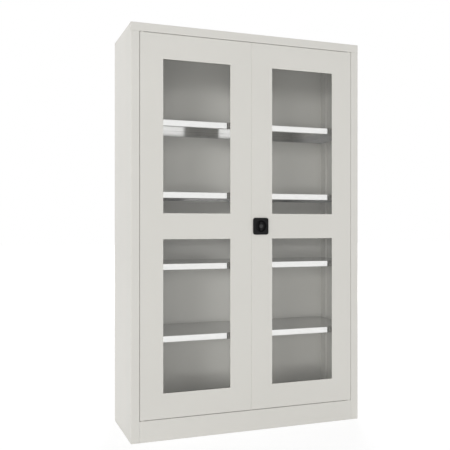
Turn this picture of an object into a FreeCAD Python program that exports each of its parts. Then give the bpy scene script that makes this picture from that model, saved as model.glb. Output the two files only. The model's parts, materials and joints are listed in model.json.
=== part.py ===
import FreeCAD, Part
import math
import os

V = FreeCAD.Vector

# Body of the cupboard, folded from thin sheet
cabinet_width = 1200.0
cabinet_depth = 400.0
cabinet_height = 1950.0
gauge = 0.8
bend = 0.4
stile_width = 40.0
stile_depth = 20.0
stile_tail = 24.0
rear_flange = 20.0
header_height = 40.0
plinth_height = 100.0
foot_flange = 30.0
floor_rise = 12.0
tray_flange = 20.0
rabbet_depth = 24.0
stop_lip = 18.0
seam = 0.3
back_inset = 2.0

# Slotted uprights on the side walls
upright_crown = 25.0
upright_proud = 8.0
upright_foot = 8.0
front_upright_depth = 60.0
rear_upright_depth = 330.0
slot_pitch = 57.0
slot_width = 15.0
slot_height = 5.0
slots_below_shelf = 6

# Shelves and the clips that carry them
shelf_count = 4
first_shelf_top = 485.0
steps_between_shelves = 6
shelf_lip = 30.0
shelf_hem = 12.0
shelf_side_gap = 1.0
shelf_back_gap = 3.0
clip_thickness = 2.0
clip_ledge = 13.0
clip_hook = 9.0
clip_side_gap = 0.5
clip_seat_gap = 0.5

# Doors: folded trays, each with two windows
door_thickness = 16.0
door_lip = 15.0
hinge_gap = 2.0
top_gap = 2.2
bottom_gap = 2.5
meeting_gap = 0.6
window_side_margin = 110.85
window_end_margin = 118.5
middle_rail = 122.3

# Glazing behind each window
seal_thickness = 1.2
seal_width = 12.0
glass_thickness = 4.0
glass_overlap = 14.0
glass_edge_gap = 1.0
frame_foot = 12.0
frame_grip = 12.0
nut_flats = 5.5
nut_height = 2.4
nut_sides = 6
nuts_up_a_side = 2
nuts_along_an_end = 1

# Pivots at the hinge corners of the doors
pivot_inset = 12.0
pivot_depth = 6.0
pin_radius = 3.0
pin_head_side = 9.0
pin_head_height = 2.5
pin_reach = 9.0
bush_side = 8.4
bush_flange_side = 10.4
bush_sleeve = 6.0
running_gap = 0.05
thrust_gap = 0.3

# Rubber buffers on the door stops
buffer_side = 8.0
buffer_bevel = 1.5
buffer_from_middle = 9.0
buffer_gap = 0.3
buffer_top_drop = 9.0

# Lock plate with its round finger dish, on the right door
lock_from_middle = 48.0
plate_width = 79.0
plate_height = 83.0
plate_corner = 9.0
plate_edge = 2.0
plate_proud = 10.0
dish_radius = 28.0
dish_floor_radius = 25.0
dish_floor_depth = 3.0
cup_wall = 2.0
cup_gap = 0.5

# Turning grip in the dish, and the key cylinder in the grip
grip_proud = 12.0
grip_length = 47.0
grip_width = 14.0
grip_edge = 1.5
grip_boss_radius = 12.0
grip_disc_radius = 24.0
grip_disc_thickness = 2.2
hub_radius = 7.0
cylinder_radius = 9.0
cylinder_length = 9.8
plug_radius = 5.5
plug_length = 8.8
key_slot_width = 1.6
key_slot_height = 7.0
key_slot_depth = 7.0

# Rack and pinion that throws the bolts
gear_module = 2.0
pinion_teeth = 12
pressure_angle = math.radians(20.0)
backlash = 0.3
rack_addendum = 1.2
rack_dedendum = 2.5
pinion_root_gap = 0.6
rack_teeth_behind = 4
rack_teeth_ahead = 2
rack_end = 1.5
drive_square = 8.0
journal_radius = 4.0
bolt_width = 10.0
bolt_thickness = 2.5
bolt_level_gap = 0.5
bolt_lead = 3.0
bolt_side_gap = 0.4
rod_end_gap = 1.0
keeper_slot_gap = 2.0

# Die-cast lock case with its cover and screws
case_half_width = 34.0
case_half_height = 38.0
case_wall = 2.5
case_web = 1.5
case_web_gap = 0.4
cover_thickness = 1.2
cover_gap = 0.7
screw_from_side = 29.0
screw_from_level = 33.0
screw_radius = 2.0
screw_flats = 7.0
screw_head_height = 2.2
screw_bite = 6.0
case_boss_side = 7.6

# Guides for the rods and keeper plates in the frame
guide_wall = 2.0
guide_height = 14.0
guide_place_shares = (0.42, 0.94)
keeper_thickness = 2.0
keeper_margin = 8.0

# Working values
overrun = 2.0
near = 1e-4
full_turn = 360.0
half_share = 0.5

# Places that follow from the sizes above
half_width = cabinet_width / 2
front_y = -(cabinet_depth - grip_proud) / 2
wall_inside = half_width - gauge
jamb_x = half_width - stile_width
header_z = cabinet_height - header_height
back_front = cabinet_depth - gauge
floor_top = plinth_height + floor_rise
upright_face = wall_inside - upright_proud
shelf_half = upright_face - shelf_side_gap
shelf_pitch = steps_between_shelves * slot_pitch
shelf_tops = [first_shelf_top + i * shelf_pitch for i in range(shelf_count)]
door_inner_x = meeting_gap / 2
door_outer_x = jamb_x - hinge_gap
door_x = (door_inner_x + door_outer_x) / 2
door_bottom = plinth_height + bottom_gap
door_top = header_z - top_gap
window_width = door_outer_x - door_inner_x - window_side_margin * 2
window_height = (door_top - door_bottom - window_end_margin * 2 - middle_rail) / 2
window_zs = {
    "lower": door_bottom + window_end_margin + window_height / 2,
    "upper": door_top - window_end_margin - window_height / 2,
}
pivot_x = door_outer_x - pivot_inset
lock_x = lock_from_middle
lock_z = (door_bottom + door_top) / 2
pinion_pitch_radius = gear_module * pinion_teeth / 2
rack_pitch = math.pi * gear_module
cup_back = dish_floor_depth + cup_wall
cup_radius = dish_radius + cup_wall
web_front = cup_back + case_web_gap
web_back = web_front + case_web
rod_level = web_back + bolt_level_gap
bolt_level = rod_level + bolt_thickness + bolt_level_gap
pinion_back = bolt_level + bolt_thickness + bolt_side_gap / 2
cover_front = bolt_level + bolt_thickness + cover_gap
cover_back = cover_front + cover_thickness
rack_root = pinion_pitch_radius + rack_dedendum
rack_back = rack_root + bolt_width
screw_places = [
    (lock_x + corner * screw_from_side, lock_z + corner * screw_from_level) for corner in (-1, 1)
]


def point(x, d, z):
    """A point x right of the middle, d behind the front sheet and z above the ground."""
    return V(x, front_y + d, z)


def block(x0, x1, d0, d1, z0, z1):
    """A rectangular solid between two places on each axis."""
    return Part.makeBox(x1 - x0, d1 - d0, z1 - z0, point(x0, d0, z0))


def bar(radius, start, end):
    """A round bar from one point to another."""
    run = end - start
    return Part.makeCylinder(radius, run.Length, start, run)


def turned(steps, base, axis):
    """A turned piece: an outline of (radius, height) steps revolved about an axis."""
    points = [base + V(1, 0, 0) * radius + axis * height for radius, height in steps]
    face = Part.Face(Part.makePolygon(points + points[:1]))
    return face.revolve(base, axis, full_turn)


def prism(x, z, flats, sides, d0, d1):
    """A regular prism along the depth, given by its width across the flats."""
    radius = flats / 2 / math.cos(math.pi / sides)
    turns = [(i + half_share) * math.tau / sides for i in range(sides)]
    corners = [point(x + radius * math.cos(turn), d0, z + radius * math.sin(turn)) for turn in turns]
    return Part.Face(Part.makePolygon(corners + corners[:1])).extrude(V(0, d1 - d0, 0))


def fold_line(points, radii):
    """Points along a folded line, where each inner corner is cut by the chord of its bend."""
    line = [points[0]]
    for before, corner, after, radius in zip(points, points[1:], points[2:], radii):
        line.append(corner + (before - corner).normalize() * radius)
        line.append(corner + (after - corner).normalize() * radius)
    return line + [points[-1]]


def folded_sheet(path, thickness, along):
    """Sheet with right-angled folds: it lies right of its path and runs along a vector."""
    axis = V(along).normalize()
    runs = [(end - start).normalize() for start, end in zip(path, path[1:])]
    sides = [run.cross(axis) * thickness for run in runs]
    inner = [corner + first + second for corner, first, second in zip(path[1:], sides, sides[1:])]
    far = [path[0] + sides[0]] + inner + [path[-1] + sides[-1]]
    left_turns = [first.cross(second).dot(axis) > 0 for first, second in zip(runs, runs[1:])]
    near_radii = [bend if left else bend + thickness for left in left_turns]
    far_radii = [bend + thickness if left else bend for left in left_turns]
    outline = fold_line(path, near_radii) + fold_line(far[::-1], far_radii[::-1])
    return Part.Face(Part.makePolygon(outline + outline[:1])).extrude(along)


def edges_at_depth(shape, d):
    """The edges of a shape whose middle lies d behind the front sheet."""
    return [edge for edge in shape.Edges if abs(edge.CenterOfMass.y - front_y - d) < near]


def round_plate(x, z, width, height, corner, d0, d1):
    """A plate with round corners, centred on x and z, between two depths."""
    plate = block(x - width / 2, x + width / 2, d0, d1, z - height / 2, z + height / 2)
    return plate.makeFillet(corner, edges_at_depth(plate, (d0 + d1) / 2))


def ring(x, z, half_x, half_z, limb, d0, d1):
    """A flat rectangular ring given by its outer half sizes and the width of its limbs."""
    outer = block(x - half_x, x + half_x, d0, d1, z - half_z, z + half_z)
    hole_x = half_x - limb
    hole_z = half_z - limb
    return outer.cut(block(x - hole_x, x + hole_x, d0, d1, z - hole_z, z + hole_z))


def mirrored(shape):
    """The left-hand twin of a right-hand piece."""
    return shape.mirror(V(0, 0, 0), V(1, 0, 0))


def fuse_all(shapes):
    """One solid from touching shapes, without the seams between them."""
    return shapes[0].multiFuse(shapes[1:]).removeSplitter()


def side_panel():
    """Right side wall: its front edge is folded into a box stile, its rear edge inwards."""
    path = [
        point(half_width - rear_flange, back_front, 0),
        point(half_width, back_front, 0),
        point(half_width, 0, 0),
        point(jamb_x, 0, 0),
        point(jamb_x, stile_depth, 0),
        point(jamb_x + stile_tail, stile_depth, 0),
    ]
    rise = cabinet_height - gauge
    panel = folded_sheet(path, gauge, V(0, 0, rise))
    top = rise + overrun
    header_face = block(jamb_x - overrun, half_width + overrun, -overrun, gauge + bend, header_z, top)
    stile_head = block(jamb_x - overrun, wall_inside, -overrun, stile_depth + overrun, header_z, top)
    return panel.cut(header_face).cut(stile_head)


def top_panel():
    """Roof with the header face, the ledge over the doors and the door stop in one fold."""
    rear_low = cabinet_height - tray_flange
    path = [
        point(-half_width, rabbet_depth, header_z - stop_lip),
        point(-half_width, rabbet_depth, header_z),
        point(-half_width, 0, header_z),
        point(-half_width, 0, cabinet_height),
        point(-half_width, back_front, cabinet_height),
        point(-half_width, back_front, rear_low),
    ]
    panel = folded_sheet(path, gauge, V(cabinet_width, 0, 0))
    roof_under = cabinet_height - gauge
    flange_front = rabbet_depth + gauge
    flange_end = back_front - rear_flange
    for side in (-1, 1):
        flange_sides = sorted((side * wall_inside, side * (wall_inside - gauge)))
        panel = panel.fuse(block(*flange_sides, flange_front, flange_end, rear_low, roof_under))
        over_stile = sorted((side * (jamb_x - seam), side * (half_width + overrun)))
        lip_end = block(
            *over_stile, rabbet_depth - near, rabbet_depth + gauge + overrun,
            header_z - stop_lip - overrun, header_z + bend + gauge)
        panel = panel.cut(lip_end)
        ledge_end = block(
            *sorted((side * wall_inside, side * (half_width + overrun))), gauge, rabbet_depth + overrun,
            header_z - overrun, header_z + gauge + bend)
        panel = panel.cut(ledge_end)
        rear_end = block(
            *sorted((side * (half_width - rear_flange - seam), side * (half_width + overrun))),
            back_front - gauge - bend, cabinet_depth, rear_low - overrun, roof_under)
        panel = panel.cut(rear_end)
        hole_side = bush_side + running_gap * 2
        panel = panel.cut(pivot_post(side, hole_side, header_z - overrun, header_z + overrun))
    return panel.cut(keeper_slot(-1, header_z)).removeSplitter()


def floor_panel():
    """Cupboard floor: a tray turned upside down behind the door stop."""
    front = rabbet_depth + gauge
    back = back_front - gauge
    low = floor_top - tray_flange
    half = wall_inside - gauge
    path = [
        point(-half, front, plinth_height),
        point(-half, front, floor_top),
        point(-half, back, floor_top),
        point(-half, back, low),
    ]
    panel = folded_sheet(path, gauge, V(half * 2, 0, 0))
    flanges = [
        block(x, x + gauge, front + stile_depth, back - rear_flange, low, floor_top)
        for x in (-wall_inside, wall_inside - gauge)
    ]
    panel = fuse_all([panel] + flanges)
    for side in (-1, 1):
        corner = sorted((side * (half_width - rear_flange - seam), side * half_width))
        panel = panel.cut(block(
            *corner, back - gauge - bend, cabinet_depth, low - overrun, floor_top + overrun))
    return panel


def plinth_panel():
    """Plinth face with a foot flange below, a ledge under the doors and the lower door stop."""
    half = jamb_x - seam
    path = [
        point(-half, foot_flange, 0),
        point(-half, 0, 0),
        point(-half, 0, plinth_height),
        point(-half, rabbet_depth, plinth_height),
        point(-half, rabbet_depth, floor_top),
    ]
    panel = folded_sheet(path, gauge, V(half * 2, 0, 0))
    for side in (-1, 1):
        hole_side = (pin_radius + running_gap) * 2
        panel = panel.cut(pivot_post(side, hole_side, plinth_height - overrun, plinth_height + overrun))
    return panel.cut(keeper_slot(1, plinth_height))


def back_panel():
    """Back sheet over the rear flanges, with a foot flange at the ground."""
    half = half_width - back_inset
    path = [
        point(-half, cabinet_depth, cabinet_height - back_inset),
        point(-half, cabinet_depth, 0),
        point(-half, cabinet_depth - foot_flange, 0),
    ]
    panel = folded_sheet(path, gauge, V(half * 2, 0, 0))
    flange_front = cabinet_depth - foot_flange - overrun
    for side in (-1, 1):
        corner = sorted((side * (half_width - rear_flange - seam), side * half_width))
        panel = panel.cut(block(*corner, flange_front, back_front, -overrun, gauge + bend))
    return panel


def upright(d):
    """Right-hand slotted upright: a hat strip with a ladder of clip slots in its crown."""
    foot_start = d - upright_foot
    crown_end = d + upright_crown
    root = wall_inside
    crown = upright_face + gauge
    path = [
        point(root, crown_end + upright_foot, floor_top),
        point(root, crown_end, floor_top),
        point(crown, crown_end, floor_top),
        point(crown, d, floor_top),
        point(root, d, floor_top),
        point(root, foot_start, floor_top),
    ]
    rise = cabinet_height - tray_flange - floor_top
    strip = folded_sheet(path, gauge, V(0, 0, rise))
    middle = d + upright_crown / 2
    slot_bottom = first_shelf_top - shelf_lip - clip_thickness - slots_below_shelf * slot_pitch
    slots = []
    while slot_bottom + slot_height < floor_top + rise:
        if slot_bottom > floor_top:
            slots.append(block(
                upright_face - overrun, upright_face + gauge + near,
                middle - slot_width / 2, middle + slot_width / 2,
                slot_bottom, slot_bottom + slot_height))
        slot_bottom += slot_pitch
    return strip.cut(Part.makeCompound(slots))


def shelf(top):
    """Shelf tray: lips and hems front and rear, plain flanges at the ends."""
    front = rabbet_depth
    back = back_front - gauge - shelf_back_gap
    low = top - shelf_lip
    path = [
        point(-shelf_half, front + shelf_hem, low),
        point(-shelf_half, front, low),
        point(-shelf_half, front, top),
        point(-shelf_half, back, top),
        point(-shelf_half, back, low),
        point(-shelf_half, back - shelf_hem, low),
    ]
    tray = folded_sheet(path, gauge, V(shelf_half * 2, 0, 0))
    ends = [
        block(x, x + gauge, front + gauge, back - gauge, low, top - bend - gauge)
        for x in (-shelf_half, shelf_half - gauge)
    ]
    cheeks = [
        block(x, x + gauge, front + gauge + bend, back - gauge - bend, low, top - gauge)
        for x in (-shelf_half, shelf_half - gauge)
    ]
    return fuse_all([tray] + ends + cheeks)


def shelf_clips(top):
    """Four clips of one shelf: each hooks into a slot and its ledge carries the shelf's end."""
    ledge_top = top - shelf_lip
    hook_x = upright_face + gauge + clip_seat_gap + clip_thickness
    ledge_x = upright_face - clip_ledge
    width = slot_width - clip_side_gap * 2
    clips = []
    for d in (front_upright_depth, rear_upright_depth):
        start = d + upright_crown / 2 - width / 2
        path = [
            point(ledge_x, start, ledge_top),
            point(hook_x, start, ledge_top),
            point(hook_x, start, ledge_top - clip_hook),
        ]
        clip = folded_sheet(path, clip_thickness, V(0, -width, 0))
        clip.translate(V(0, width, 0))
        clips += [clip, mirrored(clip)]
    return Part.makeCompound(clips)


def pivot_post(side, width, z0, z1):
    """A square post on a door's pivot axis."""
    half = width / 2
    middle = side * pivot_x
    return block(middle - half, middle + half, pivot_depth - half, pivot_depth + half, z0, z1)


def pivot_shank(radius, z0, z1):
    """A round bar on the right door's pivot axis."""
    return bar(radius, point(pivot_x, pivot_depth, z0), point(pivot_x, pivot_depth, z1))


def bottom_pivot_pin():
    """Pin with a square head and neck, set up through the plinth ledge; the right door turns on it."""
    ledge_under = plinth_height - gauge
    head = pivot_post(1, pin_head_side, ledge_under - pin_head_height, ledge_under)
    neck = pivot_post(1, pin_radius * 2, ledge_under, plinth_height)
    shank = pivot_shank(pin_radius, plinth_height, door_bottom + pin_reach)
    return fuse_all([head, neck, shank])


def pivot_bush(z0, flange):
    """Square nylon bush with a flange below, bored for a pivot pin."""
    body = pivot_post(1, bush_side, z0 + flange, z0 + flange + bush_sleeve)
    foot = pivot_post(1, bush_flange_side, z0, z0 + flange)
    bore = pivot_shank(pin_radius + running_gap, z0, z0 + flange + bush_sleeve)
    return fuse_all([foot, body]).cut(bore)


def bottom_bush():
    """Bush in the right door's lower edge; its flange bears on the plinth ledge."""
    return pivot_bush(plinth_height + thrust_gap, bottom_gap - thrust_gap)


def top_bush():
    """Bush in the header ledge, above the right door's top pin."""
    return pivot_bush(door_top + thrust_gap, top_gap - thrust_gap)


def top_pivot_pin():
    """Pin with a square head and neck, held in the door's top edge and turning in the header bush."""
    edge_under = door_top - gauge
    head = pivot_post(1, pin_head_side, edge_under - pin_head_height, edge_under)
    neck = pivot_post(1, pin_radius * 2, edge_under, door_top)
    shank = pivot_shank(pin_radius, door_top, header_z + bush_sleeve)
    return fuse_all([head, neck, shank])


def door_buffers():
    """Rubber buffers on both door stops, two for each door."""
    front = door_thickness + buffer_gap
    half = buffer_side / 2
    buffers = []
    for z in (header_z - buffer_top_drop, plinth_height + floor_rise / 2):
        for x in (-buffer_from_middle, buffer_from_middle):
            pad = block(x - half, x + half, front, rabbet_depth, z - half, z + half)
            buffers.append(pad.makeChamfer(buffer_bevel, edges_at_depth(pad, front)))
    return Part.makeCompound(buffers)


def keeper_slot(side, z):
    """Cutter for the slot that a lock rod enters: on the rod's own side of the lock, at a ledge."""
    x0, x1 = sorted((lock_x + side * rack_root, lock_x + side * rack_back))
    return block(
        x0 - keeper_slot_gap, x1 + keeper_slot_gap,
        rod_level - keeper_slot_gap, rod_level + bolt_thickness + keeper_slot_gap,
        z - keeper_thickness - overrun, z + keeper_thickness + overrun)


def rod_keepers():
    """Two plates that stiffen the ledges around the rods' slots."""
    plates = []
    for side, z0 in ((-1, header_z + gauge), (1, plinth_height - gauge - keeper_thickness)):
        x0, x1 = sorted((lock_x + side * rack_root, lock_x + side * rack_back))
        plate = block(
            x0 - keeper_margin, x1 + keeper_margin,
            gauge + bend, rabbet_depth - gauge - bend, z0, z0 + keeper_thickness)
        plates.append(plate.cut(keeper_slot(side, z0)))
    return Part.makeCompound(plates)


def door_panel():
    """Right door without its lock cut-outs: a folded tray with two windows and pivot holes."""
    outer = block(door_inner_x, door_outer_x, 0, door_thickness, door_bottom, door_top)
    outer = outer.makeChamfer(bend + gauge, edges_at_depth(outer, 0))
    hollow = block(
        door_inner_x + gauge, door_outer_x - gauge, gauge, door_thickness + overrun,
        door_bottom + gauge, door_top - gauge)
    hollow = hollow.makeChamfer(bend, edges_at_depth(hollow, gauge))
    tray = outer.cut(hollow)
    lip_front = door_thickness - gauge
    lips = [
        block(x, x + door_lip, lip_front, door_thickness, door_bottom, door_top)
        for x in (door_inner_x, door_outer_x - door_lip)
    ]
    panel = fuse_all([tray] + lips)
    for z in window_zs.values():
        panel = panel.cut(block(
            door_x - window_width / 2, door_x + window_width / 2, -overrun, gauge + overrun,
            z - window_height / 2, z + window_height / 2))
    bush_hole = bush_side + running_gap * 2
    pin_hole = (pin_radius + running_gap) * 2
    panel = panel.cut(pivot_post(1, bush_hole, door_bottom - overrun, door_bottom + overrun))
    panel = panel.cut(pivot_post(1, pin_hole, door_top - overrun, door_top + overrun))
    bolt_top = lock_z - rack_root + bolt_side_gap * 2
    bolt_bottom = lock_z - rack_back - bolt_side_gap * 2
    return panel.cut(block(
        door_inner_x - overrun, door_inner_x + overrun, bolt_level - bolt_side_gap * 2,
        bolt_level + bolt_thickness + bolt_side_gap * 2, bolt_bottom, bolt_top))


def lock_door_panel():
    """Right door with the lock's square opening, its screw holes and the slots for the rods."""
    panel = door_panel()
    behind = gauge + overrun
    panel = panel.cut(lock_passage(cup_radius + cup_gap, -overrun, behind))
    panel = panel.cut(screw_passages(-overrun, behind))
    for side, z in ((-1, door_top), (1, door_bottom)):
        x0, x1 = sorted((lock_x + side * rack_root, lock_x + side * rack_back))
        panel = panel.cut(block(
            x0 - bolt_side_gap, x1 + bolt_side_gap, rod_level - bolt_side_gap,
            rod_level + bolt_thickness + bolt_side_gap, z - overrun, z + overrun))
    return panel


def glazing_seal(z):
    """Flat seal between the door sheet and the rim of the glass."""
    half_x = window_width / 2 + glass_overlap
    half_z = window_height / 2 + glass_overlap
    return ring(door_x, z, half_x, half_z, seal_width, gauge, gauge + seal_thickness)


def glass_pane(z):
    """Clear pane behind the window."""
    half_x = window_width / 2 + glass_overlap
    half_z = window_height / 2 + glass_overlap
    front = gauge + seal_thickness
    return block(door_x - half_x, door_x + half_x, front, front + glass_thickness, z - half_z, z + half_z)


def frame_half_sizes():
    """Half sizes of the hole that a glazing frame's web forms round the glass."""
    reach = glass_overlap + glass_edge_gap
    return window_width / 2 + reach, window_height / 2 + reach


def glazing_frame(z):
    """Pressed frame of Z section: foot on the door, web round the glass, grip over its back."""
    hole_x, hole_z = frame_half_sizes()
    glass_back = gauge + seal_thickness + glass_thickness
    web_x = hole_x + gauge
    web_z = hole_z + gauge
    foot = ring(
        door_x, z, web_x + frame_foot, web_z + frame_foot, frame_foot + gauge, gauge, gauge * 2)
    web = ring(door_x, z, web_x, web_z, gauge, gauge, glass_back + gauge)
    grip = ring(door_x, z, web_x, web_z, frame_grip + gauge, glass_back, glass_back + gauge)
    return fuse_all([foot, web, grip])


def nut_places(z):
    """Places of the nuts round one window: up both sides and along both ends."""
    hole_x, hole_z = frame_half_sizes()
    across = hole_x + gauge + frame_foot / 2
    up = hole_z + gauge + frame_foot / 2
    side_step = hole_z * 2 / nuts_up_a_side
    end_step = hole_x * 2 / nuts_along_an_end
    places = []
    for side in (-1, 1):
        for i in range(nuts_up_a_side):
            places.append((door_x + side * across, z - hole_z + side_step * (i + half_share)))
        for i in range(nuts_along_an_end):
            places.append((door_x - hole_x + end_step * (i + half_share), z + side * up))
    return places


def glazing_nuts():
    """Nuts that clamp both glazing frames of a door."""
    front = gauge * 2
    return Part.makeCompound([
        prism(x, up, nut_flats, nut_sides, front, front + nut_height)
        for z in window_zs.values() for x, up in nut_places(z)
    ])


def lock_centre(d):
    """The lock's axis at a depth."""
    return point(lock_x, d, lock_z)


def lock_passage(half, d0, d1):
    """Cutter for a square hole on the lock's axis."""
    return block(lock_x - half, lock_x + half, d0, d1, lock_z - half, lock_z + half)


def lock_escutcheon():
    """Lock plate: soft-edged square with a round finger dish that dips through the door."""
    plate = round_plate(lock_x, lock_z, plate_width, plate_height, plate_corner, -plate_proud, 0)
    plate = plate.makeChamfer(plate_edge, edges_at_depth(plate, -plate_proud))
    cup = bar(cup_radius, lock_centre(-plate_edge), lock_centre(cup_back))
    body = plate.fuse(cup).removeSplitter()
    inward = V(0, 1, 0)
    depth = plate_proud + dish_floor_depth
    dish_steps = [
        (0, -overrun), (dish_radius, -overrun), (dish_radius, 0),
        (dish_floor_radius, depth), (0, depth),
    ]
    body = body.cut(turned(dish_steps, lock_centre(-plate_proud), inward))
    body = body.cut(bar(hub_radius + running_gap, lock_centre(0), lock_centre(cup_back + overrun)))
    return body.cut(screw_passages(-screw_bite, overrun))


def turn_grip():
    """Turning grip: a finger bar on a disc, with a boss for the key cylinder and a square hub."""
    disc_back = dish_floor_depth - thrust_gap
    disc_front = disc_back - grip_disc_thickness
    finger = round_plate(
        lock_x, lock_z, grip_width, grip_length, grip_width / 2 - near, -grip_proud, disc_back)
    boss = bar(grip_boss_radius, lock_centre(-grip_proud), lock_centre(disc_back))
    crown = finger.fuse(boss).removeSplitter()
    crown = crown.makeChamfer(grip_edge, edges_at_depth(crown, -grip_proud))
    disc = bar(grip_disc_radius, lock_centre(disc_front), lock_centre(disc_back))
    hub = bar(hub_radius, lock_centre(disc_back), lock_centre(web_back))
    grip = fuse_all([crown, disc, hub])
    cylinder_back = lock_centre(cylinder_length - grip_proud)
    grip = grip.cut(bar(cylinder_radius + running_gap, lock_centre(-grip_proud - overrun), cylinder_back))
    half = drive_square / 2 + running_gap
    return grip.cut(lock_passage(half, 0, web_back + overrun))


def key_cylinder():
    """Lock cylinder set in the grip, bored for the key plug."""
    bore = plug_radius + running_gap
    bore_end = plug_length + thrust_gap
    steps = [
        (bore, 0), (cylinder_radius, 0), (cylinder_radius, cylinder_length),
        (0, cylinder_length), (0, bore_end), (bore, bore_end),
    ]
    return turned(steps, lock_centre(-grip_proud), V(0, 1, 0))


def key_plug():
    """Key plug with its keyway, upright at rest."""
    front = -grip_proud
    plug = bar(plug_radius, lock_centre(front), lock_centre(front + plug_length))
    return plug.cut(block(
        lock_x - key_slot_width / 2, lock_x + key_slot_width / 2, front - overrun, front + key_slot_depth,
        lock_z - key_slot_height / 2, lock_z + key_slot_height / 2))


def involute(angle):
    """The involute function of a pressure angle."""
    return math.tan(angle) - angle


def drive_pinion():
    """Pinion with involute teeth, a square drive in front and a round journal behind."""
    base_radius = pinion_pitch_radius * math.cos(pressure_angle)
    tip_radius = pinion_pitch_radius + gear_module
    root_radius = pinion_pitch_radius - rack_addendum - pinion_root_gap
    half_tooth = (rack_pitch / 2 - backlash) / 2 / pinion_pitch_radius
    front = web_back + bolt_level_gap / 2

    def spot(radius, turn):
        return lock_centre(front) + V(radius * math.cos(turn), 0, radius * math.sin(turn))

    def flank_turn(radius):
        pressure = math.acos(min(base_radius / radius, 1))
        return half_tooth + involute(pressure_angle) - involute(pressure)

    outline = []
    flank = [root_radius, base_radius, pinion_pitch_radius, tip_radius]
    for i in range(pinion_teeth):
        middle = i * math.tau / pinion_teeth
        outline += [spot(radius, middle - flank_turn(max(radius, base_radius))) for radius in flank]
        outline += [spot(radius, middle + flank_turn(max(radius, base_radius))) for radius in flank[::-1]]
    wheel = Part.Face(Part.makePolygon(outline + outline[:1])).extrude(V(0, pinion_back - front, 0))
    half = drive_square / 2
    drive = block(lock_x - half, lock_x + half, thrust_gap, front, lock_z - half, lock_z + half)
    journal = bar(journal_radius, lock_centre(pinion_back), lock_centre(cover_back))
    return fuse_all([wheel, drive, journal])


def rack_bolt(travel, aside, reach, level):
    """Flat bolt with a rack at its inner end, moved along travel by the pinion beside it."""
    def spot(across, along):
        return lock_centre(level) + aside * across + travel * along

    tip = pinion_pitch_radius - rack_addendum
    half_pitch_line = (rack_pitch / 2 - backlash) / 2
    half_tip = half_pitch_line - rack_addendum * math.tan(pressure_angle)
    half_root = half_pitch_line + rack_dedendum * math.tan(pressure_angle)
    start = -rack_teeth_behind * rack_pitch - rack_end
    points = [spot(rack_back, start), spot(rack_root, start)]
    for i in range(-rack_teeth_behind, rack_teeth_ahead):
        middle = (i + half_share) * rack_pitch
        points += [
            spot(rack_root, middle - half_root), spot(tip, middle - half_tip),
            spot(tip, middle + half_tip), spot(rack_root, middle + half_root),
        ]
    points += [
        spot(rack_root, reach - bolt_lead), spot(rack_root + bolt_lead, reach),
        spot(rack_back - bolt_lead, reach), spot(rack_back, reach - bolt_lead),
    ]
    return Part.Face(Part.makePolygon(points + points[:1])).extrude(V(0, bolt_thickness, 0))


def upper_reach():
    """Length of the upper rod from the lock's axis when it is drawn in."""
    return door_top - rod_end_gap - lock_z


def lower_reach():
    """Length of the lower rod from the lock's axis when it is drawn in."""
    return lock_z - door_bottom - rod_end_gap


def upper_rod():
    """Rod left of the pinion, thrown up into the header."""
    return rack_bolt(V(0, 0, 1), V(-1, 0, 0), upper_reach(), rod_level)


def lower_rod():
    """Rod right of the pinion, thrown down into the plinth."""
    return rack_bolt(V(0, 0, -1), V(1, 0, 0), lower_reach(), rod_level)


def centre_bolt():
    """Bolt under the pinion, thrown sideways into the left door's edge."""
    reach = lock_x - door_inner_x - rod_end_gap
    return rack_bolt(V(-1, 0, 0), V(0, 0, -1), reach, bolt_level)


def lock_case():
    """Die-cast case behind the door sheet: a web between the dish and the rack gear."""
    case = block(
        lock_x - case_half_width, lock_x + case_half_width, gauge, cover_front,
        lock_z - case_half_height, lock_z + case_half_height)
    inner_x = case_half_width - case_wall
    inner_z = case_half_height - case_wall
    inner_sides = (lock_x - inner_x, lock_x + inner_x)
    inner_ends = (lock_z - inner_z, lock_z + inner_z)
    case = case.cut(block(*inner_sides, gauge, web_front, *inner_ends))
    case = case.cut(block(*inner_sides, web_back, cover_front, *inner_ends))
    half = case_boss_side / 2
    bosses = [
        block(x - half, x + half, d0, d1, z - half, z + half)
        for x, z in screw_places for d0, d1 in ((gauge, web_front), (web_back, cover_front))
    ]
    case = fuse_all([case] + bosses)
    case = case.cut(lock_passage(hub_radius + cup_gap, 0, web_back + overrun))
    case = case.cut(screw_passages(0, cover_back))
    near_side = rack_root - bolt_side_gap
    far_side = rack_back + bolt_side_gap
    rod_slot = (rod_level - bolt_side_gap / 2, rod_level + bolt_thickness + bolt_side_gap / 2)
    bolt_slot = (bolt_level - bolt_side_gap / 2, bolt_level + bolt_thickness + bolt_side_gap / 2)
    wall_start = inner_z - near
    wall_end = case_half_height + overrun
    case = case.cut(block(
        lock_x - far_side, lock_x - near_side, *rod_slot, lock_z + wall_start, lock_z + wall_end))
    case = case.cut(block(
        lock_x + near_side, lock_x + far_side, *rod_slot, lock_z - wall_end, lock_z - wall_start))
    return case.cut(block(
        lock_x - case_half_width - overrun, lock_x - inner_x + near, *bolt_slot,
        lock_z - far_side, lock_z - near_side))


def lock_case_cover():
    """Flat cover of the lock case, with the rear bearing of the pinion."""
    cover = block(
        lock_x - case_half_width, lock_x + case_half_width, cover_front, cover_back,
        lock_z - case_half_height, lock_z + case_half_height)
    bearing = bar(journal_radius + running_gap, lock_centre(cover_front), lock_centre(cover_back))
    return cover.cut(bearing).cut(screw_passages(cover_front, cover_back))


def screw_passages(d0, d1):
    """Cutter for the square holes that the lock's screws enter."""
    half = screw_radius + running_gap
    return Part.makeCompound([
        block(x - half, x + half, d0, d1, z - half, z + half) for x, z in screw_places
    ])


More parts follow.
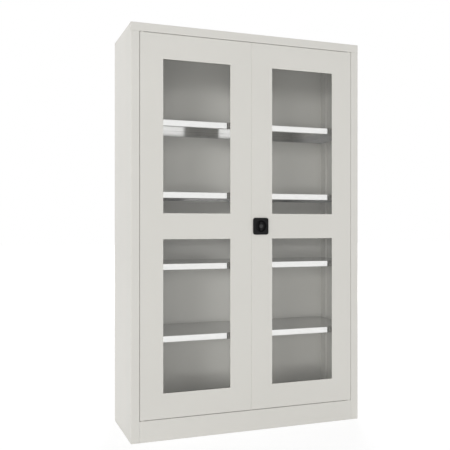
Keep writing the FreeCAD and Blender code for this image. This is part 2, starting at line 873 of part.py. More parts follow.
def lock_case_screws():
    """Hexagon screws from the cover through the case into the back of the lock plate."""
    screws = []
    for x, z in screw_places:
        head = prism(x, z, screw_flats, nut_sides, cover_back, cover_back + screw_head_height)
        tip = point(x, thrust_gap - screw_bite, z)
        screws.append(fuse_all([head, bar(screw_radius, tip, point(x, cover_back, z))]))
    return Part.makeCompound(screws)


def rod_guides():
    """Four staples on the door sheet that keep the rods straight."""
    staples = []
    for side, reach, up in ((-1, upper_reach(), 1), (1, lower_reach(), -1)):
        x0, x1 = sorted((lock_x + side * rack_root, lock_x + side * rack_back))
        for place_share in guide_place_shares:
            z0 = lock_z + up * reach * place_share
            rod_back = rod_level + bolt_thickness + bolt_side_gap
            staple = block(
                x0 - bolt_side_gap - guide_wall, x1 + bolt_side_gap + guide_wall,
                gauge, rod_back + guide_wall, z0, z0 + guide_height)
            passage = block(
                x0 - bolt_side_gap, x1 + bolt_side_gap, rod_level - bolt_side_gap, rod_back,
                z0, z0 + guide_height)
            staples.append(staple.cut(passage))
    return Part.makeCompound(staples)


def assembly():
    """Every piece of the cupboard under its node name."""
    pieces = {
        "right_side_panel": side_panel(),
        "top_panel": top_panel(),
        "floor_panel": floor_panel(),
        "plinth_panel": plinth_panel(),
        "back_panel": back_panel(),
        "right_front_upright": upright(front_upright_depth),
        "right_rear_upright": upright(rear_upright_depth),
        "right_bottom_pivot_pin": bottom_pivot_pin(),
        "right_top_bush": top_bush(),
        "right_door_bottom_bush": bottom_bush(),
        "right_door_top_pin": top_pivot_pin(),
        "right_door_glazing_nuts": glazing_nuts(),
    }
    for place, z in window_zs.items():
        pieces["right_door_%s_glass" % place] = glass_pane(z)
        pieces["right_door_%s_glazing_seal" % place] = glazing_seal(z)
        pieces["right_door_%s_glazing_frame" % place] = glazing_frame(z)
    for name in [name for name in pieces if name.startswith("right_")]:
        pieces[name.replace("right_", "left_", 1)] = mirrored(pieces[name])
    pieces["left_door_panel"] = mirrored(door_panel())
    pieces["right_door_panel"] = lock_door_panel()
    for number, top in enumerate(shelf_tops, 1):
        pieces["shelf_%d" % number] = shelf(top)
        pieces["shelf_%d_clips" % number] = shelf_clips(top)
    pieces["door_buffers"] = door_buffers()
    pieces["rod_keepers"] = rod_keepers()
    pieces["lock_escutcheon"] = lock_escutcheon()
    pieces["lock_case"] = lock_case()
    pieces["lock_case_cover"] = lock_case_cover()
    pieces["lock_case_screws"] = lock_case_screws()
    pieces["rod_guides"] = rod_guides()
    pieces["turn_grip"] = turn_grip()
    pieces["drive_pinion"] = drive_pinion()
    pieces["key_cylinder"] = key_cylinder()
    pieces["key_plug"] = key_plug()
    pieces["upper_rod"] = upper_rod()
    pieces["lower_rod"] = lower_rod()
    pieces["centre_bolt"] = centre_bolt()
    return pieces


os.makedirs("parts", exist_ok=True)
for node, shape in assembly().items():
    shape.exportStep("parts/%s.step" % node)
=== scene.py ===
import json
import math

import bpy
import numpy as np
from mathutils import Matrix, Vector

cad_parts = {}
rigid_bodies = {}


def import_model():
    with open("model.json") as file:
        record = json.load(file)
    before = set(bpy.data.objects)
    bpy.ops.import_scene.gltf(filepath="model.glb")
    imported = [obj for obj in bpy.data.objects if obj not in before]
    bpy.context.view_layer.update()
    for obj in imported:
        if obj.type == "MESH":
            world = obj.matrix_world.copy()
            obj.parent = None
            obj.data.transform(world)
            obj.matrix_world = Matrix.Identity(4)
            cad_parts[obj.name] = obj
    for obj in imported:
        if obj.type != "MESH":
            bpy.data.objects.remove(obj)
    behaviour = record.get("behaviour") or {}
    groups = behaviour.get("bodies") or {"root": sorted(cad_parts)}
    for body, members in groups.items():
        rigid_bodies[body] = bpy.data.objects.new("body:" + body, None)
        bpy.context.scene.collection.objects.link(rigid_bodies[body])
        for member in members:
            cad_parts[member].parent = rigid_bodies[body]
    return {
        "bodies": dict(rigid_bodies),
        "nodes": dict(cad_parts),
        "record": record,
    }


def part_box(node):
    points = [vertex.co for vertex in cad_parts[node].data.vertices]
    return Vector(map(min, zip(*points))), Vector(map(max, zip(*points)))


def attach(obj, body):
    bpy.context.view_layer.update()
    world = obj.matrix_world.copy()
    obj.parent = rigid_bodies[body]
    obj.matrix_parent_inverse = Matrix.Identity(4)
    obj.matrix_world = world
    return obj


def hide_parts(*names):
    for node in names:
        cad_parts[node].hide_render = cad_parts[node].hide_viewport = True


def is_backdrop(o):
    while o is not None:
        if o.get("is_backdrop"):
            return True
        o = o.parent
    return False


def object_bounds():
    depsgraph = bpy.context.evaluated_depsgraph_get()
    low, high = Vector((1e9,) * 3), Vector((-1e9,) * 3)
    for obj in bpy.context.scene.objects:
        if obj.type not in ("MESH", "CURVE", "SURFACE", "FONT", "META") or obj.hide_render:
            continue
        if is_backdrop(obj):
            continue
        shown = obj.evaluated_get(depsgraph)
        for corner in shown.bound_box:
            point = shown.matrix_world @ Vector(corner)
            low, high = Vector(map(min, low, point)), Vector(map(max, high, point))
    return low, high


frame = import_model()
cad_low, cad_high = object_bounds()


# Body of the cupboard: side walls, roof, plinth, floor, back and slotted uprights.
# Thin cold-rolled sheet, folded and spot welded, then powder coated light grey as one piece.

class Shade:
    """A socket of a material's nodes; arithmetic on it adds Math nodes, node() adds any other."""

    def __init__(self, tree, socket=None):
        self.tree = tree
        self.socket = socket

    def node(self, kind, settings, sockets, output=0):
        """Adds a node: its settings are set first, then the values or links of its sockets."""
        made = self.tree.nodes.new(kind)
        for name, value in settings.items():
            setattr(made, name, value)
        for name, value in sockets.items():
            if isinstance(value, Shade):
                self.tree.links.new(value.socket, made.inputs[name])
            else:
                made.inputs[name].default_value = value
        return Shade(self.tree, made.outputs[output]) if made.outputs else None

    def math(self, operation, first, second):
        return self.node("ShaderNodeMath", {"operation": operation}, {0: first, 1: second})

    def __add__(self, other):
        return self.math("ADD", self, other)

    def __radd__(self, other):
        return self.math("ADD", other, self)

    def __sub__(self, other):
        return self.math("SUBTRACT", self, other)

    def __rsub__(self, other):
        return self.math("SUBTRACT", other, self)

    def __mul__(self, other):
        return self.math("MULTIPLY", self, other)

    def __rmul__(self, other):
        return self.math("MULTIPLY", other, self)

    def above(self, level, width):
        """0 below a level and 1 above it, over a soft width."""
        return self.node(
            "ShaderNodeMapRange", {"interpolation_type": "SMOOTHSTEP"},
            {"Value": self, "From Min": level - width / 2, "From Max": level + width / 2})

    def mix(self, low, high):
        """The colour between two colours that this value picks."""
        return self.node(
            "ShaderNodeMix", {"data_type": "RGBA"}, {0: self, 6: low, 7: high}, output=2)


def new_finish(name):
    """An empty material, as a Shade on its nodes and the place where its pieces lie."""
    material = bpy.data.materials.new(name)
    material.use_nodes = True
    material.node_tree.nodes.clear()
    start = Shade(material.node_tree)
    return material, start, start.node("ShaderNodeTexCoord", {}, {}, output="Object")


def show(start, surface):
    """Connects a shader to the material's output."""
    start.node("ShaderNodeOutputMaterial", {}, {"Surface": surface})


def noise(place, size, detail):
    """Even noise between 0 and 1 whose features are about a size in metres."""
    return place.node(
        "ShaderNodeTexNoise", {}, {"Vector": place, "Scale": 1 / size, "Detail": detail}, output="Fac")


def bump(height, depth, strength):
    """Surface normals of a height between 0 and 1 that stands for a depth in metres."""
    return height.node(
        "ShaderNodeBump", {}, {"Height": height, "Distance": depth, "Strength": strength},
        output="Normal")


def nodes_of(slot):
    """CAD nodes whose record names this material slot."""
    return [piece["node"] for piece in frame["record"]["subparts"] if piece["material_slot"] == slot]


def dress(material, names):
    """Gives a finish to whole CAD nodes."""
    for name in names:
        for place in frame["nodes"][name].material_slots:
            place.material = material


def powder_coat(name, pale, deep):
    """Powder coat: two near tones in soft clouds, fine orange peel, and gloss that varies a little."""
    cloud_size = 0.35
    peel_size = 0.0022
    grit_size = 0.0006
    speck_level = 0.74
    speck_blur = 0.05
    speck_share = 0.25
    coat_relief = 0.00006
    material, start, place = new_finish(name)
    clouds = noise(place, cloud_size, detail=3.0)
    peel = noise(place, peel_size, detail=1.0)
    grit = noise(place, grit_size, detail=0.0)
    specks = grit.above(speck_level, speck_blur)
    tone = clouds.above(0.5, 0.5).mix(pale, deep)
    speckled = (specks * speck_share).mix(tone, deep)
    relief = peel * 0.8 + grit * 0.2
    show(start, start.node("ShaderNodeBsdfPrincipled", {}, {
        "Base Color": speckled,
        "Roughness": 0.36 + clouds * 0.1 + peel * 0.06,
        "Specular IOR Level": 0.5,
        "Normal": bump(relief, coat_relief, strength=0.6),
    }))
    return material


body_pale = (0.662, 0.650, 0.612, 1)
body_deep = (0.648, 0.636, 0.598, 1)
body_coat = powder_coat("body_powder_coat", body_pale, body_deep)
dress(body_coat, nodes_of("body_paint"))


# Shelves: trays of bright zinc-coated sheet, folded down at all four edges and hemmed at
# the front and rear. Not painted; they lie loose on their clips.

def stretched(place, factors):
    """Object coordinates multiplied axis by axis, so that a pattern runs along the least of them."""
    return place.node("ShaderNodeVectorMath", {"operation": "MULTIPLY"}, {0: place, 1: factors})


def bright_sheet(name, tone, dark, painted_shade_tone, end_flange):
    """Smooth bright sheet: faint rolling lines and soft zinc crystals, with painted shade: the
    up-facing decks and the end flanges are painted a darker tone and made rougher.
    """
    along_the_sheet = (1.5, 90.0, 90.0)
    line_size = 0.05
    crystals_per_metre = 70.0
    smudge_size = 0.22
    end_blur = 0.0004
    deck_rise = 0.7
    deck_blur = 0.2
    deck_roughness = 0.12
    end_roughness = 0.45
    line_relief = 0.000004
    material, start, place = new_finish(name)
    lines = noise(stretched(place, along_the_sheet), line_size, detail=4.0)
    crystals = place.node(
        "ShaderNodeTexVoronoi", {"feature": "F1"}, {"Vector": place, "Scale": crystals_per_metre},
        output="Color")
    grain = crystals.node("ShaderNodeSeparateColor", {}, {"Color": crystals}, output=0)
    smudge = noise(place, smudge_size, detail=3.0)
    across = place.node("ShaderNodeSeparateXYZ", {}, {"Vector": place}, output="X")
    ends = across.math("ABSOLUTE", across, 0.0).above(end_flange, end_blur)
    # Painted shade: faces that look up (the decks) are picked out here and, with the end flanges,
    # painted a darker tone that stands in for the shade falling on them.
    facing = start.node("ShaderNodeNewGeometry", {}, {}, output="True Normal")
    upward = facing.node("ShaderNodeSeparateXYZ", {}, {"Vector": facing}, output="Z")
    deck = upward.above(deck_rise, deck_blur)
    dull = deck.math("MAXIMUM", deck, ends)
    metal = (grain * 0.5 + lines * 0.5).mix(dark, tone)
    marks = grain * 0.03 + lines * 0.02
    polish = 0.05 + smudge * 0.05 + marks * (1 - dull)
    show(start, start.node("ShaderNodeBsdfPrincipled", {}, {
        # The decks and end flanges take the darker tone: painted shade, not a finish of the sheet.
        "Base Color": (dull * (0.97 + smudge * 0.03)).mix(metal, painted_shade_tone),
        "Metallic": 1.0,
        "Roughness": polish + ends * end_roughness + deck * deck_roughness,
        "Normal": bump(lines * (1 - dull), line_relief, strength=0.5),
    }))
    return material


shelf_bright = (0.905, 0.90, 0.895, 1)
shelf_dark = (0.845, 0.84, 0.835, 1)
# Painted shade: the darker tone painted on the shelves' decks and end flanges in place of the shade
# that falls on them.
shelf_painted_shade = (0.49, 0.485, 0.48, 1)
shelf_gauge = 0.001
shelf_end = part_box(nodes_of("shelf_metal")[0])[1].x - 1.5 * shelf_gauge
shelf_sheet = bright_sheet("bright_zinc_sheet", shelf_bright, shelf_dark, shelf_painted_shade, shelf_end)
dress(shelf_sheet, nodes_of("shelf_metal"))


# Small steel fittings: shelf clips, pivot pins, lock rods, pinion, cover and keepers.
# Stamped or turned from mild steel and zinc plated, with a cool sheen; each is set in its seat.

def zinc_plate(name, cool, warm):
    """Zinc plating: cool and warm tints in small clouds over fine drawing marks."""
    tint_size = 0.02
    along_the_rod = (400.0, 400.0, 30.0)
    mark_size = 0.4
    mark_relief = 0.00001
    material, start, place = new_finish(name)
    tint = noise(place, tint_size, detail=3.0)
    marks = noise(stretched(place, along_the_rod), mark_size, detail=3.0)
    show(start, start.node("ShaderNodeBsdfPrincipled", {}, {
        "Base Color": tint.above(0.5, 0.4).mix(cool, warm),
        "Metallic": 1.0,
        "Roughness": 0.22 + tint * 0.12 + marks * 0.08,
        "Normal": bump(marks, mark_relief, strength=0.4),
    }))
    return material


zinc_cool = (0.66, 0.69, 0.72, 1)
zinc_warm = (0.70, 0.69, 0.66, 1)
zinc = zinc_plate("zinc_plate", zinc_cool, zinc_warm)
dress(zinc, nodes_of("zinc_steel"))


# Doors: folded trays with two windows each, and the pressed frames that hold the glass.
# The same sheet and the same coat as the body; each door hangs on two pivot pins.

door_pale = (0.660, 0.648, 0.609, 1)
door_deep = (0.648, 0.636, 0.597, 1)
door_coat = powder_coat("door_powder_coat", door_pale, door_deep)
dress(door_coat, nodes_of("door_paint"))


# Panes: clear float glass 4 mm thick with ground edges, pressed against a rubber seal behind
# each window by the glazing frame.

def clear_glass(name, tint, dust_tone):
    """Clear pane: what is behind shows through, the rest mirrors by angle; a trace of dust.

    The mirrored share is that of glass seen straight on, and rises to one with the fifth power
    of how far the view is from straight on, alike on both faces.
    """
    dust_size = 0.12
    straight_share = 0.035
    material, start, place = new_finish(name)
    dust = noise(place, dust_size, detail=5.0)
    aslant = start.node("ShaderNodeLayerWeight", {}, {"Blend": 0.5}, output="Facing")
    mirror = straight_share + (1 - straight_share) * aslant.math("POWER", aslant, 5.0)
    gloss = start.node("ShaderNodeBsdfPrincipled", {}, {
        "Base Color": dust.mix(dust_tone, tint),
        "Roughness": 0.01 + dust * 0.015,
        "Metallic": 1.0,
    })
    through = start.node("ShaderNodeBsdfTransparent", {}, {"Color": tint})
    show(start, start.node("ShaderNodeMixShader", {}, {0: mirror, 1: through, 2: gloss}))
    return material


glass_tint = (0.992, 0.994, 0.991, 1)
glass_dust = (0.95, 0.955, 0.95, 1)
dress(clear_glass("clear_glass", glass_tint, glass_dust), nodes_of("glass"))


# Seals and buffers: black rubber strip round the glass and small pads on the door stops.
# Bushes and rod guides: natural nylon, moulded, set in the sheet or on it.

def matte_moulding(name, pale, deep, rough, depth, shine=0.5):
    """Moulded rubber or plastic: fine spark texture, slight mottling and uneven sheen."""
    mottle_size = 0.015
    texture_size = 0.0009
    material, start, place = new_finish(name)
    mottle = noise(place, mottle_size, detail=3.0)
    texture = noise(place, texture_size, detail=2.0)
    show(start, start.node("ShaderNodeBsdfPrincipled", {}, {
        "Base Color": mottle.mix(pale, deep),
        "Specular IOR Level": shine,
        "Roughness": rough + mottle * 0.1 + texture * 0.08,
        "Normal": bump(texture, depth, strength=0.5),
    }))
    return material


rubber_pale = (0.034, 0.034, 0.035, 1)
rubber_deep = (0.018, 0.018, 0.019, 1)
rubber = matte_moulding("black_rubber", rubber_pale, rubber_deep, rough=0.6, depth=0.00008)
dress(rubber, nodes_of("seal_rubber"))
nylon_pale = (0.80, 0.785, 0.73, 1)
nylon_deep = (0.73, 0.71, 0.65, 1)
nylon = matte_moulding("natural_nylon", nylon_pale, nylon_deep, rough=0.42, depth=0.00004)
dress(nylon, nodes_of("nylon"))


# Glazing nuts: flanged hexagon nuts on studs welded to the door sheet, which clamp the
# glazing frames. Zinc plated; twelve on each door.

def loft(name, rings, material, smooth=True):
    """Surface through rings of points, closed round each ring, with its two ends capped.

    Rings is an array (copies, stations, points, 3). Each quad joins neighbouring points of
    neighbouring stations; the first and last station of each copy carry one polygon each.
    """
    copies, stations, points = rings.shape[:3]
    index = np.arange(copies * stations * points).reshape(copies, stations, points)
    ahead = np.roll(index, -1, axis=2)
    quads = np.stack([index[:, :-1], ahead[:, :-1], ahead[:, 1:], index[:, 1:]], axis=-1)
    faces = quads.reshape(-1, 4).tolist() + index[:, 0, ::-1].tolist() + index[:, -1].tolist()
    mesh = bpy.data.meshes.new(name)
    mesh.from_pydata(rings.reshape(-1, 3).tolist(), [], faces)
    mesh.polygons.foreach_set("use_smooth", [smooth] * len(faces))
    mesh.materials.append(material)
    mesh.update()
    piece = bpy.data.objects.new(name, mesh)
    bpy.context.scene.collection.objects.link(piece)
    return piece


def round_angles(points):
    """Angles of equally spaced points round a ring."""
    return np.arange(points) * (2 * math.pi / points)


def hexagon(angle, flats):
    """Polar radius of a hexagon: half its width over the cosine of the angle from a flat's middle."""
    sector = math.pi / 3
    return flats / 2 / np.cos((angle + sector / 2) % sector - sector / 2)


def flanged_nut(points):
    """Rings of one nut about its axis, as (station, point, [across, depth, up]).

    Flange and crown are circles, the body is a hexagon clipped by the circle of its chamfer,
    and a threaded stud with a domed end stands out of it.
    """
    flats = 0.0055
    flange = 0.0042
    stud = 0.0015
    flange_edge = 0.0005
    body_foot = 0.0007
    body_top = 0.0021
    crown = 0.0024
    stud_foot = 0.0026
    stud_shoulder = 0.0040
    stud_tip = 0.0044
    angle = round_angles(points)
    body = np.minimum(hexagon(angle, flats), flats * 0.56)
    chamfer = np.minimum(body, flats * 0.5)
    circle = np.ones(points)
    stations = [
        (circle * flange, 0.0), (circle * flange, flange_edge),
        (body, body_foot), (body, body_top),
        (chamfer, crown), (circle * stud * 1.15, crown),
        (circle * stud, stud_foot), (circle * stud, stud_shoulder), (circle * stud * 0.7, stud_tip),
    ]
    radius = np.array([station[0] for station in stations])
    depth = np.array([station[1] for station in stations])
    return np.stack([
        radius * np.sin(angle), np.broadcast_to(depth[:, None], radius.shape), radius * np.cos(angle),
    ], axis=-1)


sheet_gauge = 0.0008
frame_foot_width = 0.012
nut_points = 24
nut_rings = flanged_nut(nut_points)
for side in ("left", "right"):
    seats = []
    for level in ("lower", "upper"):
        low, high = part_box("%s_door_%s_glazing_frame" % (side, level))
        middle = (low + high) / 2
        reach = (high.z - low.z) / 2 - frame_foot_width - sheet_gauge
        foot = frame_foot_width / 2
        seat_y = low.y + sheet_gauge
        seats += [(x, seat_y, middle.z + up * reach / 2)
                  for x in (low.x + foot, high.x - foot) for up in (-1, 1)]
        seats += [(middle.x, seat_y, z) for z in (low.z + foot, high.z - foot)]
    rings = np.array(seats)[:, None, None, :] + nut_rings
    node = "%s_door_glazing_nuts" % side
    nuts = loft("%s_flanged_nuts" % side, rings, zinc, smooth=False)
    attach(nuts, "%s_door" % side)
    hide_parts(node)


# Meeting bead: a thin bead of sealant along the leading edge of the left door, painted with
# the door. It narrows the gap between the doors, so that little dust gets in.

def rounded_square(angle, half_x, half_z, corner):
    """Rounded rectangle: the core corner of the angle's quadrant plus a circle of the corner radius."""
    core_x = (half_x - corner) * np.sign(np.sin(angle))
    core_z = (half_z - corner) * np.sign(np.cos(angle))
    return core_x + corner * np.sin(angle), core_z + corner * np.cos(angle)


edge_low, edge_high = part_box("left_door_panel")
fold_round = 0.0012
bead_reach = 0.0004
bead_root = 0.0001
bead_depth = 0.004
bead_corner = 0.0001
bead_end = 0.002
bead_points = 16
bead_angle = -round_angles(bead_points) - math.pi / bead_points
bead_x, bead_y = rounded_square(
    bead_angle, (bead_reach + bead_root) / 2, bead_depth / 2, bead_corner)
bead_x += edge_high.x + (bead_reach - bead_root) / 2
bead_y += edge_low.y + fold_round + bead_depth / 2
bead_z = np.array([edge_low.z + bead_end, edge_high.z - bead_end])
bead_rings = np.stack(np.broadcast_arrays(bead_x, bead_y, bead_z[:, None]), axis=-1)
bead = loft("meeting_bead", bead_rings[None], door_coat, smooth=False)
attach(bead, "left_door")


# Lock plate: a black glass-filled plastic moulding with soft edges and a round finger dish,
# held by two screws from behind.

black_pale = (0.0142, 0.0142, 0.0149, 1)
black_deep = (0.0122, 0.0122, 0.0128, 1)
black_plastic = matte_moulding(
    "black_plastic", black_pale, black_deep, rough=0.42, depth=0.00006, shine=0.08)


def quarter(count):
    """Sines and cosines of a quarter turn, both ends included."""
    turn = np.linspace(0, math.pi / 2, count)
    return zip(np.sin(turn), np.cos(turn))


plate_low, plate_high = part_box("lock_escutcheon")
plate_middle = (plate_low + plate_high) / 2
plate_half_x = (plate_high.x - plate_low.x) / 2
plate_half_z = (plate_high.z - plate_low.z) / 2
front_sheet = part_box("right_door_panel")[0].y
plate_front = plate_low.y
plate_corner = 0.0115
plate_edge = 0.0022
edge_steps = 6
rim_round = 0.0012
rim_steps = 5
dish_radius = 0.028
dish_depth = 0.003
dish_floor_radius = 0.025
dish_floor = front_sheet + dish_depth
cup_radius = 0.030
hub_hole = 0.0071
plate_points = 128
plate_angle = -round_angles(plate_points) - math.pi / plate_points


def plate_ring(inset, y):
    """A ring on the plate's outline, moved in by an inset, at a depth."""
    x, z = rounded_square(
        plate_angle, plate_half_x - inset, plate_half_z - inset, plate_corner - inset)
    return np.stack([plate_middle.x + x, np.full(plate_points, y), plate_middle.z + z], axis=-1)


def lock_ring(angle, radius, y):
    """A ring round the lock's axis with a polar radius, at a depth."""
    x = plate_middle.x + radius * np.sin(angle)
    z = plate_middle.z + radius * np.cos(angle)
    return np.stack([x, np.full(angle.shape, y), z], axis=-1)


def ring_tube(name, rings, material):
    """Closed surface through rings whose last ring joins the first again."""
    stations, points = rings.shape[:2]
    index = np.arange(stations * points).reshape(stations, points)
    around = np.roll(index, -1, axis=1)
    onward = np.roll(index, -1, axis=0)
    quads = np.stack([index, around, np.roll(around, -1, axis=0), onward], axis=-1).reshape(-1, 4)
    mesh = bpy.data.meshes.new(name)
    mesh.from_pydata(rings.reshape(-1, 3).tolist(), [], quads.tolist())
    mesh.polygons.foreach_set("use_smooth", [True] * len(quads))
    mesh.materials.append(material)
    mesh.update()
    piece = bpy.data.objects.new(name, mesh)
    bpy.context.scene.collection.objects.link(piece)
    return piece


def crisp(piece, degrees):
    """Keeps edges sharper than an angle sharp, so that flats stay flat beside rounds."""
    piece.data.set_sharp_from_angle(angle=math.radians(degrees))


plate_rings = [
    lock_ring(plate_angle, hub_hole, plate_high.y), lock_ring(plate_angle, cup_radius, plate_high.y),
    lock_ring(plate_angle, cup_radius, front_sheet), plate_ring(0, front_sheet),
]
plate_rings += [
    plate_ring(plate_edge * (1 - cosine), plate_front + plate_edge * (1 - sine))
    for sine, cosine in quarter(edge_steps)]
plate_rings += [
    lock_ring(
        plate_angle, dish_radius + rim_round * (1 - sine), plate_front + rim_round * (1 - cosine))
    for sine, cosine in quarter(rim_steps)]
plate_rings += [
    lock_ring(
        plate_angle, dish_floor_radius - rim_round * (1 - cosine), dish_floor - rim_round * (1 - sine))
    for sine, cosine in quarter(rim_steps)]
plate_rings += [lock_ring(plate_angle, hub_hole, dish_floor)]
lock_plate = ring_tube("lock_plate", np.array(plate_rings), black_plastic)
crisp(lock_plate, degrees=30)
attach(lock_plate, "right_door")
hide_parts("lock_escutcheon")


# Turning grip: a finger bar on a round disc, moulded in the same black plastic, with a boss
# round the key cylinder. It turns in the plate and drives the pinion by its hub.

grip_low, grip_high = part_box("turn_grip")
grip_front = grip_low.y
grip_half_length = 0.0235
grip_half_width = 0.007
boss_radius = 0.012
grip_round = 0.0022
grip_foot = 0.0008
disc_radius = 0.024
disc_gap = 0.0003
disc_thickness = 0.0022
disc_bevel = 0.0004
disc_margin = 0.0005
disc_back = dish_floor - disc_gap
disc_front = disc_back - disc_thickness
hub_radius = 0.0069
key_seat = 0.00905
key_seat_bevel = 0.0005
key_seat_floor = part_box("key_cylinder")[1].y
grip_points = 144
grip_angle = -round_angles(grip_points)


def grip_outline(angle):
    """Polar radius of the grip: a bar with round ends joined smoothly to a round boss.

    The bar's radius is its half width over the sine on the flanks, and the far root of its end
    circle beyond them; the two forms are joined by the twelfth root of their summed twelfth powers.
    """
    least_sine = 1e-6
    sine = np.abs(np.sin(angle))
    cosine = np.abs(np.cos(angle))
    end = grip_half_length - grip_half_width
    flank = grip_half_width / np.maximum(sine, least_sine)
    under_root = np.maximum(grip_half_width ** 2 - (end * sine) ** 2, 0)
    tip = end * cosine + np.sqrt(under_root)
    bar = np.where(flank * cosine > end, tip, flank)
    power = 12
    return (bar ** power + boss_radius ** power) ** (1 / power)


grip_edge = grip_outline(grip_angle)
grip_circle = np.ones(grip_angle.shape)
grip_stations = [
    (grip_circle * hub_radius, grip_high.y),
    (grip_circle * hub_radius, disc_back),
    (grip_circle * (disc_radius - disc_bevel), disc_back),
    (grip_circle * disc_radius, disc_back - disc_bevel),
    (grip_circle * disc_radius, disc_front + disc_bevel),
    (grip_circle * (disc_radius - disc_bevel), disc_front),
    (np.minimum(grip_edge + grip_foot, disc_radius - disc_margin), disc_front),
    (grip_edge, disc_front - grip_foot),
]
grip_stations += [
    (grip_edge - grip_round * (1 - cosine), grip_front + grip_round * (1 - sine))
    for sine, cosine in quarter(edge_steps)]
grip_stations += [
    (grip_circle * (key_seat + key_seat_bevel), grip_front),
    (grip_circle * key_seat, grip_front + key_seat_bevel),
    (grip_circle * key_seat, key_seat_floor),
]
grip_rings = np.array([lock_ring(grip_angle, radius, y) for radius, y in grip_stations])
grip = loft("finger_grip", grip_rings[None], black_plastic)
crisp(grip, degrees=32)
frame["bodies"]["turn_handle"].rotation_mode = "QUATERNION"
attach(grip, "turn_handle")
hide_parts("turn_grip")


# Key cylinder and plug: turned brass, plated with black nickel and set in the grip. The plug
# has a slot for a flat key and turns in the cylinder.

def nickel(name, bright, dull):
    """Nickel plate with fine turning rings about the lock's axis and a few scuffs."""
    ring_size = 0.0004
    scuff_size = 0.004
    ring_relief = 0.00002
    material, start, place = new_finish(name)
    centred = place.node(
        "ShaderNodeVectorMath", {"operation": "SUBTRACT"}, {0: place, 1: tuple(plate_middle)})
    flat = stretched(centred, (1.0, 0.0, 1.0))
    radius = flat.node("ShaderNodeVectorMath", {"operation": "LENGTH"}, {0: flat}, output="Value")
    rings = noise(radius.node("ShaderNodeCombineXYZ", {}, {"X": radius}), ring_size, detail=2.0)
    scuff = noise(place, scuff_size, detail=4.0)
    show(start, start.node("ShaderNodeBsdfPrincipled", {}, {
        "Base Color": scuff.above(0.55, 0.3).mix(bright, dull),
        "Metallic": 1.0,
        "Roughness": 0.2 + scuff * 0.15 + rings * 0.1,
        "Normal": bump(rings, ring_relief, strength=0.3),
    }))
    return material


nickel_bright = (0.072, 0.072, 0.073, 1)
nickel_dull = (0.046, 0.046, 0.047, 1)
dress(nickel("nickel_plate", nickel_bright, nickel_dull), nodes_of("key_metal"))


# Lock case: the box behind the door sheet that carries the pinion and the racks. A raw zinc
# die casting with a grainy skin and flow marks, held with its cover by two screws.

def raw_casting(name, pale, deep):
    """Raw casting: cloudy grey flow marks over a fine grainy skin."""
    flow_size = 0.012
    skin_size = 0.0007
    skin_relief = 0.00008
    material, start, place = new_finish(name)
    flow = noise(place, flow_size, detail=4.0)
    skin = noise(place, skin_size, detail=2.0)
    show(start, start.node("ShaderNodeBsdfPrincipled", {}, {
        "Base Color": flow.mix(pale, deep),
        "Metallic": 1.0,
        "Roughness": 0.42 + flow * 0.12 + skin * 0.08,
        "Normal": bump(skin, skin_relief, strength=0.5),
    }))
    return material


casting_pale = (0.60, 0.61, 0.62, 1)
casting_deep = (0.48, 0.49, 0.50, 1)
dress(raw_casting("raw_zinc_casting", casting_pale, casting_deep), nodes_of("die_cast"))


# Back rivets: blind rivets that close the back sheet to the rear flanges of the walls,
# the roof and the floor. Domed aluminium heads, coated with the body.

def rivet_head(points):
    """Rings of one head: circles about its axis, whose radii and heights follow a low dome.

    The last two circles go down again, into the small dimple where the mandrel broke off.
    """
    radius = np.array([0.0047, 0.0047, 0.0041, 0.0029, 0.0015, 0.0013, 0.0010])
    height = np.array([-0.0002, 0.0003, 0.0009, 0.0014, 0.0016, 0.0015, 0.0009])
    angle = round_angles(points)
    return np.stack([
        radius[:, None] * np.cos(angle), np.broadcast_to(height[:, None], (len(radius), points)),
        -radius[:, None] * np.sin(angle),
    ], axis=-1)


back_low, back_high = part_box("back_panel")
rivet_inset = 0.010
rivets_up = 11
rivets_across = 6
rivet_foot = 0.105
rivet_points = 16
rivet_z = np.linspace(back_low.z + rivet_foot, back_high.z - rivet_inset, rivets_up)
rivet_x = np.linspace(back_low.x + rivet_inset, back_high.x - rivet_inset, rivets_across + 2)
rivet_rows = [
    np.stack([np.full(rivets_up, x), rivet_z], axis=-1) for x in (rivet_x[0], rivet_x[-1])]
rivet_rows += [
    np.stack([rivet_x[1:-1], np.full(rivets_across, z)], axis=-1) for z in (rivet_z[0], rivet_z[-1])]
rivet_seats = np.concatenate(rivet_rows)
rivet_places = np.stack(
    [rivet_seats[:, 0], np.full(len(rivet_seats), back_high.y), rivet_seats[:, 1]], axis=-1)
rivet_rings = rivet_places[:, None, None, :] + rivet_head(rivet_points)
rivets = loft("back_rivets", rivet_rings, body_coat)
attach(rivets, "carcass")


# Stage: a plain pale floor that keeps a soft shadow, an even white studio all round, and
# the camera at the photograph's place.

def seen_directly(start):
    """1 for what the camera, a mirror or a pane shows, 0 for light that falls on the object."""
    path = start.node("ShaderNodeLightPath", {}, {}, output="Is Camera Ray")
    outputs = path.socket.node.outputs
    mirrored = Shade(start.tree, outputs["Is Glossy Ray"])
    through = Shade(start.tree, outputs["Is Transmission Ray"])
    return path.math("MAXIMUM", path, path.math("MAXIMUM", mirrored, through))


floor_half = 30.0
floor_lines = 3
floor_line = np.linspace(-floor_half, floor_half, floor_lines)
floor_x, floor_y = np.meshgrid(floor_line, floor_line)
floor_points = np.stack([floor_x, floor_y, np.zeros_like(floor_x)], axis=-1).reshape(-1, 3)
floor_index = np.arange(floor_lines ** 2).reshape(floor_lines, floor_lines)
floor_quads = np.stack(
    [floor_index[:-1, :-1], floor_index[:-1, 1:], floor_index[1:, 1:], floor_index[1:, :-1]], axis=-1)
floor_mesh = bpy.data.meshes.new("studio_floor")
floor_mesh.from_pydata(floor_points.tolist(), [], floor_quads.reshape(-1, 4).tolist())
floor = bpy.data.objects.new("studio_floor", floor_mesh)
bpy.context.scene.collection.objects.link(floor)

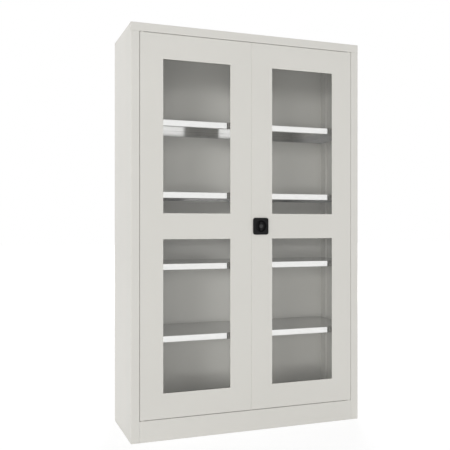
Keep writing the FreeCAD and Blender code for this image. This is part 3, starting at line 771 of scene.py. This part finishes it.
floor_pale = (0.82, 0.82, 0.82, 1)
floor_shadowed = (0.30, 0.30, 0.30, 1)
near_glow = (0.80, 0.80, 0.80, 1)
far_glow = (1, 1, 1, 1)
glow_middle = 5.5
glow_width = 5.0
floor_paint, floor_start, floor_place = new_finish("studio_floor")
bounce = floor_start.node("ShaderNodeBsdfDiffuse", {}, {"Color": floor_pale})
shadowed = floor_start.node("ShaderNodeBsdfDiffuse", {}, {"Color": floor_shadowed})
away = floor_place.node(
    "ShaderNodeVectorMath", {"operation": "LENGTH"}, {0: floor_place}, output="Value")
watched = floor_start.node("ShaderNodeLightPath", {}, {}, output="Is Camera Ray")
far = watched * away.above(glow_middle, glow_width)
glow = floor_start.node(
    "ShaderNodeEmission", {}, {"Color": far.mix(near_glow, far_glow), "Strength": 1.0})
lit = floor_start.node("ShaderNodeAddShader", {}, {0: shadowed, 1: glow})
show(floor_start, floor_start.node(
    "ShaderNodeMixShader", {}, {0: seen_directly(floor_start), 1: bounce, 2: lit}))
floor_mesh.materials.append(floor_paint)
floor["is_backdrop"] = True

studio = bpy.data.worlds.new("studio")
studio.use_nodes = True
studio.node_tree.nodes.clear()
sky = Shade(studio.node_tree)
studio_white = (1, 1, 1, 1)
studio_level = 0.40
white = sky.node("ShaderNodeBackground", {}, {"Color": studio_white, "Strength": 1.0})
soft = sky.node("ShaderNodeBackground", {}, {"Color": studio_white, "Strength": studio_level})
shown = sky.node("ShaderNodeMixShader", {}, {0: seen_directly(sky), 1: soft, 2: white})
sky.node("ShaderNodeOutputWorld", {}, {"Surface": shown})
bpy.context.scene.world = studio

object_middle = (cad_low + cad_high) / 2


def soft_box(name, from_front, height, reach, width, tall, power):
    """Lamp aimed at the cupboard's middle, by its angle to the left of the front and its height."""
    turn = math.radians(from_front)
    rise = math.radians(height)
    data = bpy.data.lights.new(name, "AREA")
    data.shape = "RECTANGLE"
    data.size = width
    data.size_y = tall
    data.energy = power
    lamp = bpy.data.objects.new(name, data)
    lamp.location = object_middle + reach * Vector((
        -math.sin(turn) * math.cos(rise), -math.cos(turn) * math.cos(rise), math.sin(rise)))
    lamp.rotation_euler = (math.pi / 2 - rise, 0, -turn)
    lamp.visible_glossy = False
    bpy.context.scene.collection.objects.link(lamp)


soft_box("front_box", from_front=37, height=6, reach=30.0, width=24.0, tall=6.0, power=2850.0)
soft_box("right_box", from_front=-22, height=9, reach=30.0, width=14.0, tall=6.0, power=1400.0)
soft_box("low_box", from_front=24, height=-6, reach=6.0, width=3.0, tall=0.5, power=48.0)
soft_box("side_box", from_front=90, height=15, reach=10.0, width=5.0, tall=5.0, power=260.0)
soft_box("back_box", from_front=205, height=35, reach=10.0, width=4.0, tall=4.0, power=430.0)

picture = 450
principal_px = (221.217, 225.267)
focal_px = 660.51
camera_place = (-1.2428, -3.19784, 1.00973)
camera_turn = -19.856
camera_data = bpy.data.cameras.new("photo_camera")
camera_data.sensor_width = 36.0
camera_data.lens = focal_px / picture * camera_data.sensor_width
camera_data.shift_x = (picture / 2 - principal_px[0]) / picture
camera_data.shift_y = (principal_px[1] - picture / 2) / picture
camera = bpy.data.objects.new("photo_camera", camera_data)
camera.location = camera_place
camera.rotation_euler = (math.pi / 2, 0, math.radians(camera_turn))
bpy.context.scene.collection.objects.link(camera)
bpy.context.scene.camera = camera
bpy.context.scene.view_settings.view_transform = "Standard"

low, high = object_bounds()
